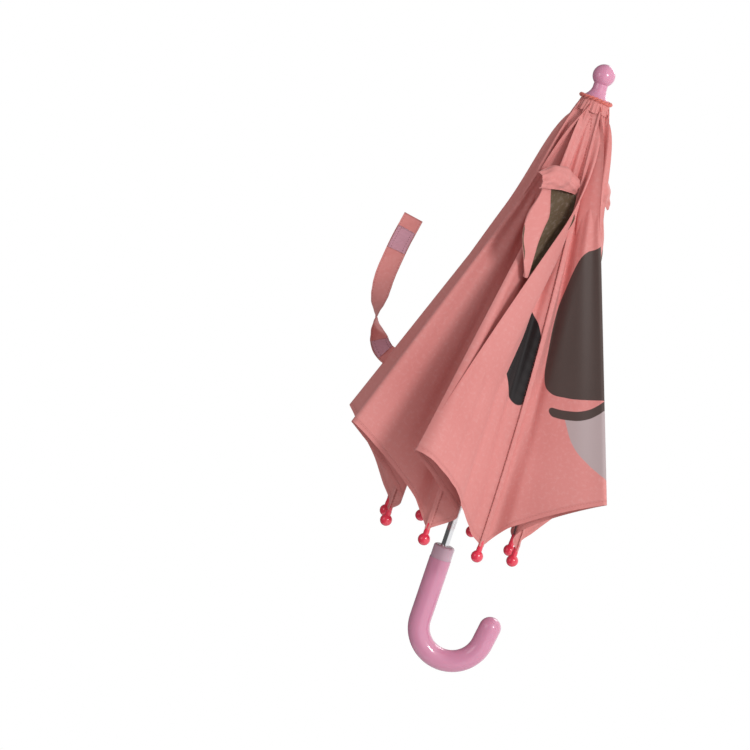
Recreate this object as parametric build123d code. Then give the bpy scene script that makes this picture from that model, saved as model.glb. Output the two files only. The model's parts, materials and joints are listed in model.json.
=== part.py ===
"""A children's stick umbrella, loosely closed, with eight ribs and a J-shaped handle.

Millimetres, +Z up along the shaft, tip on top. The origin is on the shaft's axis, halfway up the
straight part of the grip, and the hook of the handle points along +X.
A heading is an angle round the shaft, clockwise from +X seen from above, so that -Y is heading 90.
"""

import math
import os

from build123d import *

# Round the shaft
RIB_COUNT = 8
RIB_PITCH = 360 / RIB_COUNT
FIRST_RIB_HEADING = 20.0

# Shaft, from inside the handle to inside the finial
SHAFT_RADIUS = 4.0
SHAFT_WALL = 0.6
SHAFT_BOTTOM = -22.0
SHAFT_TOP = 535.0
FIT_GAP = 0.04

# Handle: straight grip, half a circle, short straight end
GRIP_RADIUS = 11.2
GRIP_TOP = 32.0
BEND_Z = -32.5
BEND_RADIUS = 34.0
HOOK_END = 12.5
HOOK_SPREAD = 8.0
COLLAR_TOP = 46.0

# Ribs: a bowed steel rod from the hinge in the top notch to the tip
HINGE_RADIUS = 7.0
HINGE_Z = 506.0
RIB_REACH = 453.7
RIB_ANGLE = 8.24
RIB_BOW = 16.0
CHANNEL = 2.2
CHANNEL_WALL = 0.55
EYE_THICKNESS = 1.8
TIP_BALL_RADIUS = 6.1
TIP_SLEEVE = 11.0

# Stretchers: as long as the rib's hinge is from its joint, so that the linkage stays isosceles
JOINT_SHARE = 0.372
JOINT_DROP = 3.0
WIRE_RADIUS = 0.55
EYE_HOLE = 0.75
RIVET_RADIUS = 0.8
RIB_OPEN_ANGLE = 51.8

# Canopy: each gore is two half panels that meet at a fold
PANEL_THICKNESS = 0.5
PANEL_HEM = 398.0
PANEL_RIB_GAP = 10.0
PANEL_SHARES = (0.27, 0.93)
PANEL_STEPS = 6
PANEL_LIFT = 0.2
PANEL_FOLD_GAP = 0.6
# How much further each gore's first and second half stop short of the fold, for each mm down it,
# so that the two stay clear of each other while they unfold
PANEL_TAPERS = [(0, 0.045), (0.045, 0), (0.045, 0), (0.035, 0), (0.045, 0), (0.045, 0), (0, 0.045), (0, 0.045)]
# The strap passes through this slot of the fourth gore's second half: from, to, and reach across
STRAP_HALF = (3, 1)
STRAP_SLOT = (304.0, 330.0, 48.0)
# The fold of each gore at rest: heading, and angle out from the shaft
FOLDS = [
    (30.0, 23.3),
    (113.0, 24.0),
    (145.0, 23.7),
    (203.0, 22.2),
    (234.0, 24.3),
    (272.0, 25.0),
    (309.0, 25.2),
    (332.0, 22.4),
]

# Radius and height where each fold leaves the crown, midway between two ribs
FOLD_START = (6.0, 510.0)

# Crown
FINIAL_BALL = 11.3
FINIAL_BALL_Z = 543.0
FINIAL_BASE_Z = 519.0
FINIAL_BASE_RADIUS = 12.6
CROWN_CORD_RADIUS = 1.7
CROWN_CAP_RADIUS = 13.4

# Runner and its two catches
RUNNER_BORE = SHAFT_RADIUS + 0.2
RUNNER_HEAD = 9.6
RUNNER_NECK = 7.4
RUNNER_FLANGE = 9.4
HEAD_HALF = 5.0
SLOT_DEPTH = 36.0
RUNNER_DROP = 52.0
SLOT_WIDTH = 2.4
SLOT_FLOOR = 4.95
CATCH_HEADING = 87.5
CATCH_REACH = 5.9

UP = Vector(0, 0, 1)


def heading(angle):
    """Unit vector outward at a heading."""
    a = math.radians(angle)
    return Vector(math.cos(a), -math.sin(a), 0)


def downward(angle, lean):
    """Unit vector at a heading that points down, and out from the shaft by lean degrees."""
    a = math.radians(lean)
    return heading(angle) * math.sin(a) - UP * math.cos(a)


def turned(shape, angle):
    """The shape, built at heading 0, turned to a heading."""
    return shape.rotate(Axis.Z, -angle)


def rod(radius, low, high):
    """A cylinder on the shaft's axis between two heights."""
    return Pos(0, 0, (low + high) / 2) * Cylinder(radius, high - low)


def tube(outer, inner, low, high):
    return rod(outer, low, high) - rod(inner, low - 1, high + 1)


def cross_pin(radius, length, at):
    """A cylinder along Y, the direction of every hinge of the linkage at heading 0."""
    return Pos(at.X, at.Y, at.Z) * Rot(90, 0, 0) * Cylinder(radius, length)


def flat_part(points, thickness):
    """A plate in the XZ plane with the given outline, centred on Y = 0."""
    outline = Polyline(*[(p.X, p.Z) for p in points], close=True)
    face = Plane.XZ * make_face(outline)
    return extrude(face, amount=thickness / 2, both=True)


# Places of the linkage at heading 0
HINGE = Vector(HINGE_RADIUS, 0, HINGE_Z)
RIB_LINE = downward(0, RIB_ANGLE)
RIB_OUT = Vector(-RIB_LINE.Z, 0, RIB_LINE.X)
TIP_CENTRE = HINGE + RIB_LINE * RIB_REACH


def rib_point(share, off=0.0):
    """A point on the rib's bowed line, a share of the way down, and off further out."""
    bow = 4 * RIB_BOW * share * (1 - share)
    return HINGE + RIB_LINE * (RIB_REACH * share) + RIB_OUT * (bow + off)


def fold_point(gore, distance):
    """A point on a gore's fold, a distance down from the height of the ribs' hinges."""
    return UP * HINGE_Z + downward(*FOLDS[gore]) * distance


RIB_JOINT = rib_point(JOINT_SHARE, -JOINT_DROP)
LINK_LENGTH = (RIB_JOINT - HINGE).length
JOINT_ANGLE = math.degrees(math.atan2(RIB_JOINT.X - HINGE.X, HINGE.Z - RIB_JOINT.Z))
RUNNER_Z = HINGE_Z - 2 * LINK_LENGTH * math.cos(math.radians(JOINT_ANGLE))
RUNNER_PIVOT = Vector(HINGE_RADIUS, 0, RUNNER_Z)
OPEN_JOINT_ANGLE = JOINT_ANGLE + RIB_OPEN_ANGLE - RIB_ANGLE
RUNNER_OPEN_Z = HINGE_Z - 2 * LINK_LENGTH * math.cos(math.radians(OPEN_JOINT_ANGLE))
RUNNER_TRAVEL = RUNNER_OPEN_Z - RUNNER_Z


def shaft_tube():
    body = tube(SHAFT_RADIUS, SHAFT_RADIUS - SHAFT_WALL, SHAFT_BOTTOM, SHAFT_TOP)
    for z in (BOTTOM_CATCH_Z, TOP_CATCH_Z):
        slot = Pos(SHAFT_RADIUS, 0, z) * Box(2 * SHAFT_RADIUS, 1.5, 24)
        body -= turned(slot, CATCH_HEADING)
    body -= turned(Pos(0, 0, STOP_Z) * Rot(90, 0, 0) * Cylinder(1.0, 12), 0)
    return body


def handle():
    start = Vector(0, 0, GRIP_TOP)
    low = Vector(0, 0, BEND_Z)
    under = Vector(BEND_RADIUS, 0, BEND_Z - BEND_RADIUS)
    spread = math.radians(HOOK_SPREAD)
    far = Vector(
        BEND_RADIUS + BEND_RADIUS * math.cos(spread), 0, BEND_Z - BEND_RADIUS * math.sin(spread)
    )
    end = far + Vector(math.sin(spread), 0, math.cos(spread)) * (HOOK_END + 5)
    path = Line(start, low) + ThreePointArc(low, under, far) + Line(far, end)
    grip = sweep(Plane.XY.offset(GRIP_TOP) * Circle(GRIP_RADIUS), path=path)
    grip += Pos(end.X, end.Y, end.Z) * Sphere(GRIP_RADIUS)
    return grip - rod(SHAFT_RADIUS + FIT_GAP, SHAFT_BOTTOM - 0.2, GRIP_TOP + 1)


def handle_collar():
    ring = rod(GRIP_RADIUS - 0.4, GRIP_TOP, COLLAR_TOP)
    ring = fillet(ring.edges().group_by(Axis.Z)[-1], 2.4)
    return ring - rod(SHAFT_RADIUS + FIT_GAP, GRIP_TOP - 1, COLLAR_TOP + 1)


def finial():
    base = FINIAL_BASE_Z
    neck_z, neck = base + 10.0, 7.2
    ball_meet = math.asin(neck / FINIAL_BALL)
    on_ball = Vector(neck, 0, FINIAL_BALL_Z - FINIAL_BALL * math.cos(ball_meet))
    profile = (
        Line((0, 0, base), (FINIAL_BASE_RADIUS, 0, base))
        + Line((FINIAL_BASE_RADIUS, 0, base), (FINIAL_BASE_RADIUS, 0, base + 1.6))
        + ThreePointArc(
            (FINIAL_BASE_RADIUS, 0, base + 1.6), (9.4, 0, base + 4.9), (neck, 0, neck_z)
        )
        + Line((neck, 0, neck_z), on_ball)
        + ThreePointArc(
            on_ball, (FINIAL_BALL, 0, FINIAL_BALL_Z), (0, 0, FINIAL_BALL_Z + FINIAL_BALL)
        )
        + Line((0, 0, FINIAL_BALL_Z + FINIAL_BALL), (0, 0, base))
    )
    turned_part = revolve(make_face(profile), Axis.Z)
    return turned_part - rod(SHAFT_RADIUS + FIT_GAP, base - 1, SHAFT_TOP + 0.2)


def crown_cap():
    """Fabric cap over the top notch, that the gores are gathered under."""
    top, low = FINIAL_BASE_Z - 0.1, FINIAL_BASE_Z - 6.2
    cap = rod(CROWN_CAP_RADIUS, low, top) - rod(CROWN_CAP_RADIUS - 0.7, low - 1, top - 0.8)
    return cap - rod(SHAFT_RADIUS + FIT_GAP, low, top + 1)


def crown_cord():
    ring = CROWN_CAP_RADIUS + CROWN_CORD_RADIUS + 0.1
    return Pos(0, 0, FINIAL_BASE_Z - CROWN_CORD_RADIUS) * Torus(ring, CROWN_CORD_RADIUS)


def radial_slots(low, high):
    """Eight slots, one for each rib, that are open outward."""
    mid, reach = (low + high) / 2, 10.0
    slot = Pos(SLOT_FLOOR + reach / 2, 0, mid) * Box(reach, SLOT_WIDTH, high - low)
    return [turned(slot, FIRST_RIB_HEADING + k * RIB_PITCH) for k in range(RIB_COUNT)]


def wire_ring(z, radius):
    return Pos(0, 0, z) * Torus(HINGE_RADIUS, radius)


def top_notch():
    low, high, cap = HINGE_Z - 5.0, HINGE_Z + 5.4, 2.2
    notch = tube(RUNNER_HEAD, SHAFT_RADIUS + FIT_GAP, low, high)
    for slot in radial_slots(low - 1, high - cap):
        notch -= slot
    return notch - wire_ring(HINGE_Z, WIRE_RADIUS + 0.05)


def runner():
    low = RUNNER_Z - RUNNER_DROP
    body = rod(RUNNER_HEAD, RUNNER_Z - HEAD_HALF, RUNNER_Z + HEAD_HALF)
    body += rod(RUNNER_NECK, low, RUNNER_Z)
    body += rod(RUNNER_FLANGE, low, low + 3)
    body += rod(RUNNER_FLANGE - 0.6, low + 12, low + 14)
    body -= rod(RUNNER_BORE, low - 1, RUNNER_Z + HEAD_HALF + 1)
    for slot in radial_slots(RUNNER_Z - SLOT_DEPTH, RUNNER_Z + HEAD_HALF + 1):
        body -= slot
    groove = Pos(CATCH_REACH / 2 + 0.2, 0, RUNNER_Z - 20) * Box(CATCH_REACH + 0.4, 1.6, 80)
    body -= turned(groove, CATCH_HEADING)
    return body - wire_ring(RUNNER_Z, WIRE_RADIUS + 0.05)


BOTTOM_CATCH_Z = RUNNER_Z - RUNNER_DROP + 8.0
TOP_CATCH_Z = RUNNER_Z - RUNNER_DROP + RUNNER_TRAVEL - 7.0
STOP_Z = RUNNER_Z + HEAD_HALF + RUNNER_TRAVEL + 1.4


def catch(z):
    """Sprung catch in the hollow shaft: a flat spring whose nose stands out of a slot."""
    spine, nose = SHAFT_RADIUS - SHAFT_WALL - 0.9, CATCH_REACH
    outline = [
        Vector(0.6, 0, z - 11),
        Vector(spine, 0, z - 11),
        Vector(spine, 0, z - 6),
        Vector(nose, 0, z + 3.5),
        Vector(nose, 0, z + 5.5),
        Vector(spine, 0, z + 6.5),
        Vector(spine, 0, z + 11),
        Vector(0.6, 0, z + 11),
    ]
    return turned(flat_part(outline, 1.0), CATCH_HEADING)


def stop_pin():
    return Pos(0, 0, STOP_Z) * Rot(90, 0, 0) * Cylinder(0.98, 11)


def rib():
    """Bowed channel, open inward, with a flat hinge eye and a boss for the stretcher's rivet."""
    first, last = rib_point(0.012), rib_point(1 - 3.0 / RIB_REACH)
    path = ThreePointArc(first, rib_point(0.5), last)
    channel = Rectangle(CHANNEL, CHANNEL) - Pos(0, -CHANNEL_WALL) * Rectangle(
        CHANNEL - 2 * CHANNEL_WALL, CHANNEL
    )
    body = sweep(Plane(origin=first, x_dir=(0, 1, 0), z_dir=path % 0) * channel, path=path)
    neck = [rib_point(0, -1.1), rib_point(0.03, -1.05), rib_point(0.03, 0.9), rib_point(0, 1.1)]
    body += flat_part(neck, EYE_THICKNESS)
    body += cross_pin(2.0, EYE_THICKNESS, HINGE)
    body += cross_pin(2.3, 2.6, RIB_JOINT)
    body -= cross_pin(EYE_HOLE, 6, HINGE)
    body -= cross_pin(RIVET_RADIUS + 0.07, 6, RIB_JOINT)
    return body


def rib_tip():
    """Safety ball with a sleeve that the end of the rib sits in."""
    along = (TIP_CENTRE - rib_point(0.97)).normalized()
    start = TIP_CENTRE - along * (TIP_SLEEVE + TIP_BALL_RADIUS)
    plane = Plane(origin=start, z_dir=along)
    sleeve = plane * Pos(0, 0, TIP_SLEEVE / 2) * Cone(2.3, 2.9, TIP_SLEEVE)
    sleeve += plane * Pos(0, 0, TIP_SLEEVE) * Cylinder(2.9, 6)
    tip = sleeve + Pos(TIP_CENTRE.X, 0, TIP_CENTRE.Z) * Sphere(TIP_BALL_RADIUS)
    first, last = rib_point(0.9), rib_point(1 - 2.9 / RIB_REACH)
    path = ThreePointArc(first, rib_point(0.95), last)
    hole = Rectangle(CHANNEL + 2 * FIT_GAP, CHANNEL + 2 * FIT_GAP)
    bore = sweep(Plane(origin=first, x_dir=(0, 1, 0), z_dir=path % 0) * hole, path=path)
    return tip - bore


def stretcher():
    """Flat bar with a fork riveted to the rib, and a hook that lies under the runner's wire."""
    along = (RIB_JOINT - RUNNER_PIVOT).normalized()
    inward = Vector(-along.Z, 0, along.X)
    foot, reach = RUNNER_PIVOT, LINK_LENGTH

    def at(distance, side):
        return foot + along * distance + inward * side

    bar = flat_part([at(0, -2.2), at(reach - 9, -2.2), at(reach - 9, 1.4), at(0, 1.4)], 1.8)
    bar += cross_pin(1.9, 1.8, foot)
    bridge = [at(reach - 14, -2.2), at(reach - 8, -2.2), at(reach - 8, 1.6), at(reach - 14, 1.6)]
    bar += flat_part(bridge, 4.5)
    cheek = flat_part([at(reach - 9, -2), at(reach, -2), at(reach, 2), at(reach - 9, 1.6)], 0.8)
    for side in (-1, 1):
        bar += Pos(0, side * 1.85, 0) * (cheek + cross_pin(2.0, 0.8, RIB_JOINT))
    # The wire leaves the hook upward, at angles that grow as the stretcher swings out.
    near, far = math.radians(JOINT_ANGLE - 4), math.radians(JOINT_ANGLE + 52)
    way_near = along * math.cos(near) + inward * math.sin(near)
    way_far = along * math.cos(far) + inward * math.sin(far)
    side_near = Vector(way_near.Z, 0, -way_near.X) * EYE_HOLE
    side_far = Vector(way_far.Z, 0, -way_far.X) * EYE_HOLE
    mouth = [
        foot + side_near,
        foot + side_near + way_near * 16,
        foot + way_far * 16 - side_far,
        foot - side_far,
    ]
    bar -= flat_part(mouth, 6)
    bar -= cross_pin(EYE_HOLE, 6, foot)
    bar += cross_pin(RIVET_RADIUS, 4.5, RIB_JOINT)
    for side in (-1, 1):
        bar += Pos(0, side * 2.5, 0) * cross_pin(1.5, 0.5, RIB_JOINT)
    return max(bar.solids(), key=lambda s: s.volume)


def half_panel(gore, side):
    """One half of a gore: side -1 runs from its fold to the rib before it, 1 to the one after."""
    start = heading(FIRST_RIB_HEADING + (gore + 0.5) * RIB_PITCH) * FOLD_START[0] + UP * FOLD_START[1]
    fold = (fold_point(gore, PANEL_HEM) - start).normalized()
    rib_heading = FIRST_RIB_HEADING + (gore + (side > 0)) * RIB_PITCH
    tip = heading(rib_heading) * TIP_CENTRE.X + UP * TIP_CENTRE.Z - start
    across = (tip - fold * fold.dot(tip)).normalized()
    out = across.cross(fold) * side

    taper = PANEL_TAPERS[gore][0 if side < 0 else 1]

    def fold_gap(distance):
        return PANEL_FOLD_GAP + taper * distance

    # The edge beside the rib follows the rib's bow at a steady distance from it.
    rib_edge = []
    for step in range(PANEL_STEPS + 1):
        point = rib_point(PANEL_SHARES[0] + (PANEL_SHARES[1] - PANEL_SHARES[0]) * step / PANEL_STEPS)
        flat = heading(rib_heading) * point.X + UP * point.Z - start
        width = flat.dot(across) - PANEL_RIB_GAP
        if width > fold_gap(flat.dot(fold)) + 2:
            rib_edge.append((flat.dot(fold), -side * width))
    fold_edge = [(down, -side * fold_gap(down)) for down in (PANEL_HEM, rib_edge[0][0])]
    outline = rib_edge + fold_edge
    plane = Plane(origin=start + out * PANEL_LIFT, x_dir=fold, z_dir=out)
    panel = extrude(plane * make_face(Polyline(outline, close=True)), amount=PANEL_THICKNESS)
    if (gore, side) == STRAP_HALF:
        low, high, reach = STRAP_SLOT
        corners = [(low, side), (high, side), (high, -side * reach), (low, -side * reach)]
        panel -= extrude(plane * make_face(Polyline(corners, close=True)), amount=PANEL_THICKNESS)
    return panel


def strap_section(across, out, spread):
    """Place, then the direction of the strap's width, from its foot on the fourth gore's fold."""
    foot = fold_point(3, 322)
    lift = foot + Vector(-across, 0, 0) + UP * out
    turn = math.radians(spread)
    return lift, Vector(math.cos(turn), math.sin(turn), 0)


STRAP_WIDTH = 24.0
STRAP_THICKNESS = 1.2
# Out along -X, up, and how the width is turned from X towards Y
STRAP_ROUTE = [
    (8.0, 1.0, 80.0),
    (16.0, 22.0, 72.0),
    (27.0, 50.0, 50.0),
    (32.0, 85.0, 25.0),
    (27.0, 120.0, 14.0),
    (18.0, 156.0, 12.0),
]


def strap():
    sections = []
    for across, out, spread in STRAP_ROUTE:
        place, width = strap_section(across, out, spread)
        half, thin = width * (STRAP_WIDTH / 2), width.cross(UP) * (STRAP_THICKNESS / 2)
        corners = [place - half - thin, place + half - thin, place + half + thin, place - half + thin]
        sections.append(Wire.make_polygon(corners))
    return Solid.make_loft(sections, True)


def strap_patch(low, high, face):
    """Hook or loop patch sewn on one face of the strap between two of its places."""
    sections = []
    for share in (low, (low + high) / 2, high):
        i = min(int(share), len(STRAP_ROUTE) - 2)
        part = share - i
        mix = [a + (b - a) * part for a, b in zip(STRAP_ROUTE[i], STRAP_ROUTE[i + 1])]
        place, width = strap_section(*mix)
        normal = width.cross(UP) * face
        base = place + normal * (STRAP_THICKNESS / 2 + 0.25)
        half, thin = width * (STRAP_WIDTH / 2 - 2), normal * 1.2
        corners = [base - half, base + half, base + half + thin, base - half + thin]
        sections.append(Wire.make_polygon(corners))
    return Solid.make_loft(sections, True)


EAR_START = 96.0
EAR_LENGTH = 112.0
EAR_THICKNESS = 3.0
EAR_LIFT = 4.5


def ear(rib_number, side, width, lean):
    """Floppy ear sewn into the seam over a rib: a leaf that leans over the gore on one side."""
    low, high = EAR_START / RIB_REACH, (EAR_START + EAR_LENGTH) / RIB_REACH
    root, end = rib_point(low, EAR_LIFT), rib_point(high, EAR_LIFT)
    along = (end - root).normalized()
    outward = Vector(-along.Z, 0, along.X)
    sideways = Vector(0, -side, 0)
    turn = math.radians(lean)
    across = outward * math.cos(turn) + sideways * math.sin(turn)
    plane = Plane(origin=root, x_dir=along, z_dir=along.cross(across))
    seam = EAR_LENGTH * 0.45
    outline = (
        Line((0, 2), (seam, 2))
        + ThreePointArc((seam, 2), (EAR_LENGTH * 0.75, width * 0.22), (EAR_LENGTH, width * 0.62))
        + ThreePointArc((EAR_LENGTH, width * 0.62), (EAR_LENGTH * 0.45, width), (0, width * 0.5))
        + Line((0, width * 0.5), (0, 2))
    )
    leaf = extrude(plane * make_face(outline), amount=EAR_THICKNESS / 2, both=True)
    return turned(leaf, FIRST_RIB_HEADING + (rib_number - 1) * RIB_PITCH)


def build():
    parts = {
        "shaft_tube": shaft_tube(),
        "handle": handle(),
        "handle_collar": handle_collar(),
        "finial": finial(),
        "crown_cap": crown_cap(),
        "crown_cord": crown_cord(),
        "top_notch": top_notch(),
        "top_notch_wire": wire_ring(HINGE_Z, WIRE_RADIUS),
        "runner_stop_pin": stop_pin(),
        "runner": runner(),
        "runner_wire": wire_ring(RUNNER_Z, WIRE_RADIUS),
        "bottom_catch": catch(BOTTOM_CATCH_Z),
        "top_catch": catch(TOP_CATCH_Z),
        "strap": strap(),
        "strap_end_patch": strap_patch(4.0, 4.75, -1),
        "strap_foot_patch": strap_patch(0.15, 1.0, -1),
        "ear_left": ear(2, 1, 44, 50),
        "ear_right": ear(1, -1, 34, 62),
    }
    one_rib, one_tip, one_stretcher = rib(), rib_tip(), stretcher()
    for k in range(RIB_COUNT):
        angle = FIRST_RIB_HEADING + k * RIB_PITCH
        parts[f"rib_{k + 1}"] = turned(one_rib, angle)
        parts[f"rib_tip_{k + 1}"] = turned(one_tip, angle)
        parts[f"stretcher_{k + 1}"] = turned(one_stretcher, angle)
        parts[f"gore_{k + 1}_first_half"] = half_panel(k, -1)
        parts[f"gore_{k + 1}_second_half"] = half_panel(k, 1)
    os.makedirs("parts", exist_ok=True)
    for name, shape in parts.items():
        export_step(shape, f"parts/{name}.step")
    print(f"link {LINK_LENGTH:.4f} at {JOINT_ANGLE:.4f} degrees, rib joint {RIB_JOINT}")
    print(f"runner pivot {RUNNER_Z:.4f}, travel {RUNNER_TRAVEL:.4f}")


build()
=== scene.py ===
import json
import math

import bpy
import numpy as np
from mathutils import Matrix, Vector


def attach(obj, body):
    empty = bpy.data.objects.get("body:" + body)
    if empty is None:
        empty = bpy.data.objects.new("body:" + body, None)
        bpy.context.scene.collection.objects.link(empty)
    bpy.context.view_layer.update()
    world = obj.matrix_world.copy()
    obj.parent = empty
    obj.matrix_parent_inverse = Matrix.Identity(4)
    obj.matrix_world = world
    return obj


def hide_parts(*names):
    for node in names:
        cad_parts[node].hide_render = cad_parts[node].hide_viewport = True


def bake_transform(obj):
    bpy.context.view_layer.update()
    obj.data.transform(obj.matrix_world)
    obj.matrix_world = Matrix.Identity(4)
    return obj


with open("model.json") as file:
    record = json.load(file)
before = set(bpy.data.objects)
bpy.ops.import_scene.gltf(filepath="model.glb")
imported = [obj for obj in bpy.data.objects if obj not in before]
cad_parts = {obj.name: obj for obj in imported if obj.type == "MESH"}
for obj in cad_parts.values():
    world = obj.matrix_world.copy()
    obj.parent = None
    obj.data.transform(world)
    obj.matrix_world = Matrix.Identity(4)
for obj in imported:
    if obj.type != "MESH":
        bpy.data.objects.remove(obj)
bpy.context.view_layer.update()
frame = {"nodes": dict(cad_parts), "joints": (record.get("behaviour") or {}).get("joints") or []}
JOINTS = {j["name"]: j for j in frame["joints"]}

# ---------------------------------------------------------------- sizes, in millimetres
HINGE_R, HINGE_Z = 7.0, 506.0
REACH, LEAN, BOW = 453.7, 8.24, 16.0
FIRST, PITCH = 20.0, 45.0
FOLDS = [(30.0, 23.3), (113.0, 24.0), (145.0, 23.7), (203.0, 22.2),
         (234.0, 24.3), (272.0, 25.0), (309.0, 25.2), (332.0, 22.4)]
FOLD_START = (6.0, 510.0)
HEM = 398.0
MM = 0.001


def heading(a):
    a = math.radians(a)
    return np.array([math.cos(a), -math.sin(a), 0.0])


def downward(a, lean):
    lean = math.radians(lean)
    return heading(a) * math.sin(lean) - np.array([0, 0, math.cos(lean)])


UP = np.array([0.0, 0.0, 1.0])
RIB_LINE = downward(0, LEAN)
RIB_OUT = np.array([-RIB_LINE[2], 0.0, RIB_LINE[0]])


def rib_point(share, off=0.0):
    """Radius and height of a point of the bowed rib, off further out."""
    share = np.asarray(share, float)
    bow = 4 * BOW * share * (1 - share) + off
    x = HINGE_R + RIB_LINE[0] * REACH * share + RIB_OUT[0] * bow
    z = HINGE_Z + RIB_LINE[2] * REACH * share + RIB_OUT[2] * bow
    return x, z


# where the seams start under the cord (radius, height), the share of the rib over which they come down
# onto it, and how far the gathers hold them out below the crown
SEAM_TOP = (14.0, 515.0)
SEAM_TURN = 0.14
SEAM_FULL = 4.0


def seam(share, off=1.7):
    """The line where two gores are sewn together, on the outside of a rib: (radius, height)."""
    share = np.asarray(share, float)
    x, z = rib_point(share, off)
    k = np.clip(1 - share / SEAM_TURN, 0, 1) ** 1.5
    full = SEAM_FULL * smooth(share / 0.03) * (1 - smooth((share - 0.08) / 0.2))
    return x * (1 - k) + SEAM_TOP[0] * k + full, z * (1 - k) + SEAM_TOP[1] * k


def smooth(t):
    t = np.clip(t, 0, 1)
    return t * t * (3 - 2 * t)


def spin(points, axis, pivot, angle):
    """Points turned about an axis; angle in radians, one for all or one each."""
    n = np.asarray(axis, float)
    n = n / np.linalg.norm(n)
    p = points - pivot
    c, s = np.cos(angle), np.sin(angle)
    if np.ndim(angle):
        c, s = c[..., None], s[..., None]
    return pivot + p * c + np.cross(n, p) * s + n * (p @ n)[..., None] * (1 - c)


# ---------------------------------------------------------------- meshes
def mesh_object(name, points, faces, uvs=None, smooth_faces=True):
    me = bpy.data.meshes.new(name)
    me.from_pydata([tuple(p) for p in np.asarray(points) * MM], [], faces)
    me.update()
    for layer, values in (uvs or {}).items():
        uv = me.uv_layers.new(name=layer)
        loops = np.zeros(len(me.loops), np.int32)
        me.loops.foreach_get("vertex_index", loops)
        uv.data.foreach_set("uv", np.asarray(values, np.float32)[loops].ravel())
    if smooth_faces:
        me.polygons.foreach_set("use_smooth", np.ones(len(me.polygons), bool))
    ob = bpy.data.objects.new(name, me)
    bpy.context.scene.collection.objects.link(ob)
    return ob


def grid_faces(rows, cols, base=0, flip=False, close=False):
    faces = []
    for i in range(rows - 1):
        for j in range(cols if close else cols - 1):
            k = (j + 1) % cols
            a, b = base + i * cols + j, base + i * cols + k
            c, d = base + (i + 1) * cols + k, base + (i + 1) * cols + j
            faces.append((a, d, c, b) if flip else (a, b, c, d))
    return faces


def grid_rim(rows, cols):
    """The points round the edge of a grid, in order."""
    foot = [(rows - 1) * cols + j for j in range(1, cols)]
    back = [i * cols + cols - 1 for i in range(rows - 2, -1, -1)]
    return [i * cols for i in range(rows)] + foot + back + list(range(cols - 2, 0, -1))


def catmull(points, count):
    """A smooth line of count points through the given ones."""
    p = np.asarray(points, float)
    p = np.vstack([2 * p[0] - p[1], p, 2 * p[-1] - p[-2]])
    out = []
    for u in np.linspace(0, len(p) - 3 - 1e-9, count):
        i = int(u)
        t = u - i
        a, b, c, d = p[i], p[i + 1], p[i + 2], p[i + 3]
        out.append(0.5 * (2 * b + (c - a) * t + (2 * a - 5 * b + 4 * c - d) * t * t
                          + (3 * b - a - 3 * c + d) * t ** 3))
    return np.array(out)


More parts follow.
